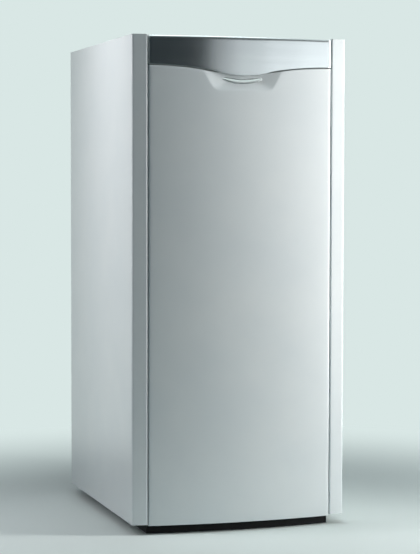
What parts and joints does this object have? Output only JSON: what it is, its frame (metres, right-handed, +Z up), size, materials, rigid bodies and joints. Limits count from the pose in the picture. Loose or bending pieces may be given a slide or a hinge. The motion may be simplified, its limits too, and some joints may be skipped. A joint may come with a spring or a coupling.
{
  "type": "oil condensing boiler",
  "caption": "Floor-standing oil condensing boiler: curved white casing with lift-off front cover and silver control flap, over a burner, boiler vessel and condensing exchanger.",
  "frame": {"origin": "on the floor under the middle of the casing", "axes": "+X to the right seen from the front, +Y to the back, +Z up"},
  "size_m": [0.57, 0.691, 1.257],
  "materials": {
    "casing_white": "white fine powder coat",
    "flap_silver": "silver metallic paint",
    "galvanised_sheet": "galvanised sheet",
    "base_black": "black powder coat",
    "steel_frame": "zinc-plated steel",
    "black_plastic": "moulded black plastic",
    "grey_plastic": "moulded grey plastic",
    "silver_plastic": "moulded silver plastic",
    "red_plastic": "translucent red plastic",
    "display_glass": "dark display window",
    "pointer_red": "red pointer",
    "clear_lens": "clear lens",
    "boiler_steel": "black boiler steel",
    "stainless_steel": "stainless steel",
    "insulation": "foil-faced mineral wool",
    "cast_door": "cast plate",
    "exchanger_plastic": "moulded grey-black plastic",
    "flue_plastic": "white flue plastic",
    "duct_grey": "grey duct plastic",
    "cast_burner": "red-brown painted casting",
    "motor_black": "black painted motor",
    "pump_aluminium": "cast aluminium",
    "brass": "turned brass",
    "copper_pipe": "drawn copper",
    "lever_red": "red painted lever"
  },
  "bodies": {
    "casing": {"right_side_panel": "casing_white", "left_side_panel": "casing_white", "top_cover": "casing_white", "rear_panel": "galvanised_sheet", "cable_gland": "black_plastic", "base_ring": "base_black", "base_tray": "galvanised_sheet", "frame_posts": "galvanised_sheet", "frame_rails": "galvanised_sheet", "hinge_pins": "steel_frame", "cover_studs": "steel_frame", "console_housing": "grey_plastic", "control_fascia": "grey_plastic", "display_window": "display_glass", "gauge_case": "black_plastic", "gauge_lens": "clear_lens", "boiler_vessel": "boiler_steel", "combustion_chamber": "stainless_steel", "insulation_jacket": "insulation", "burner_door": "cast_door", "burner_door_bolts": "steel_frame", "vessel_stand": "galvanised_sheet", "condensing_exchanger": "exchanger_plastic", "connecting_flue": "stainless_steel", "flue_riser": "flue_plastic", "flue_adapter": "flue_plastic", "air_duct": "duct_grey", "burner_housing": "cast_burner", "burner_motor": "motor_black", "oil_pump": "pump_aluminium", "blast_tube": "stainless_steel", "nozzle_assembly": "brass", "ignition_unit": "black_plastic", "flow_pipe": "copper_pipe", "return_pipe": "copper_pipe", "link_pipe": "copper_pipe", "oil_filter": "pump_aluminium", "oil_line": "copper_pipe", "condensate_siphon": "exchanger_plastic", "drain_valve": "brass"},
    "flap": {"control_flap": "flap_silver"},
    "cover": {"front_cover": "casing_white", "cover_clips": "black_plastic"},
    "heating_knob": {"heating_knob": "silver_plastic"},
    "hot_water_knob": {"hot_water_knob": "silver_plastic"},
    "menu_button": {"menu_button": "silver_plastic"},
    "minus_button": {"minus_button": "silver_plastic"},
    "plus_button": {"plus_button": "silver_plastic"},
    "enter_button": {"enter_button": "silver_plastic"},
    "burner_reset_button": {"burner_reset_button": "red_plastic"},
    "main_switch": {"main_switch_rocker": "black_plastic"},
    "gauge_pointer": {"gauge_pointer": "pointer_red"},
    "burner_rotor": {"fan_wheel": "galvanised_sheet", "motor_shaft": "steel_frame"},
    "air_damper": {"air_damper": "stainless_steel"},
    "drain_lever": {"drain_lever": "lever_red"},
    "front_left_foot": {"front_left_foot": "steel_frame"},
    "front_right_foot": {"front_right_foot": "steel_frame"},
    "rear_left_foot": {"rear_left_foot": "steel_frame"},
    "rear_right_foot": {"rear_right_foot": "steel_frame"}
  },
  "joints": [
    {"name": "flap_hinge", "type": "hinge", "parent": "casing", "child": "flap", "pos_m": [0, -0.3, 1.247], "axis": [-1, 0, 0], "range_deg": [0, 95]},
    {"name": "cover_pull", "type": "slide", "parent": "casing", "child": "cover", "axis": [0, -1, 0], "range_m": [0, 0.35]},
    {"name": "heating_knob_turn", "type": "hinge", "parent": "casing", "child": "heating_knob", "pos_m": [-0.08584, -0.30675, 1.203], "axis": [0, -1, 0], "range_deg": [-135, 135]},
    {"name": "hot_water_knob_turn", "type": "hinge", "parent": "casing", "child": "hot_water_knob", "pos_m": [0.14848, -0.30675, 1.203], "axis": [0, -1, 0], "range_deg": [-135, 135]},
    {"name": "menu_button_press", "type": "slide", "parent": "casing", "child": "menu_button", "axis": [0, 1, 0], "range_m": [0, 0.0015], "stiffness_N_per_m": 300, "springref_m": -0.001},
    {"name": "minus_button_press", "type": "slide", "parent": "casing", "child": "minus_button", "axis": [0, 1, 0], "range_m": [0, 0.0015], "stiffness_N_per_m": 300, "springref_m": -0.001},
    {"name": "plus_button_press", "type": "slide", "parent": "casing", "child": "plus_button", "axis": [0, 1, 0], "range_m": [0, 0.0015], "stiffness_N_per_m": 300, "springref_m": -0.001},
    {"name": "enter_button_press", "type": "slide", "parent": "casing", "child": "enter_button", "axis": [0, 1, 0], "range_m": [0, 0.0015], "stiffness_N_per_m": 300, "springref_m": -0.001},
    {"name": "burner_reset_button_press", "type": "slide", "parent": "casing", "child": "burner_reset_button", "axis": [0, 1, 0], "range_m": [0, 0.0015], "stiffness_N_per_m": 300, "springref_m": -0.001},
    {"name": "main_switch_rock", "type": "hinge", "parent": "casing", "child": "main_switch", "pos_m": [-0.13456, -0.302, 1.203], "axis": [1, 0, 0], "range_deg": [-16, 0]},
    {"name": "gauge_needle", "type": "hinge", "parent": "casing", "child": "gauge_pointer", "pos_m": [-0.18792, -0.302, 1.203], "axis": [0, -1, 0], "range_deg": [0, 250]},
    {"name": "burner_rotor_spin", "type": "hinge", "parent": "casing", "child": "burner_rotor", "pos_m": [0, -0.215, 0.795], "axis": [1, 0, 0], "continuous": true},
    {"name": "air_damper_turn", "type": "hinge", "parent": "casing", "child": "air_damper", "pos_m": [0, -0.215, 0.702], "axis": [1, 0, 0], "range_deg": [0, 80]},
    {"name": "drain_lever_turn", "type": "hinge", "parent": "casing", "child": "drain_lever", "pos_m": [-0.11, -0.149, 0.32], "axis": [0, 0, 1], "range_deg": [0, 90]},
    {"name": "front_left_foot_screw", "type": "slide", "parent": "casing", "child": "front_left_foot", "axis": [0, 0, -1], "range_m": [0, 0.02]},
    {"name": "front_right_foot_screw", "type": "slide", "parent": "casing", "child": "front_right_foot", "axis": [0, 0, -1], "range_m": [0, 0.02]},
    {"name": "rear_left_foot_screw", "type": "slide", "parent": "casing", "child": "rear_left_foot", "axis": [0, 0, -1], "range_m": [0, 0.02]},
    {"name": "rear_right_foot_screw", "type": "slide", "parent": "casing", "child": "rear_right_foot", "axis": [0, 0, -1], "range_m": [0, 0.02]}
  ]
}
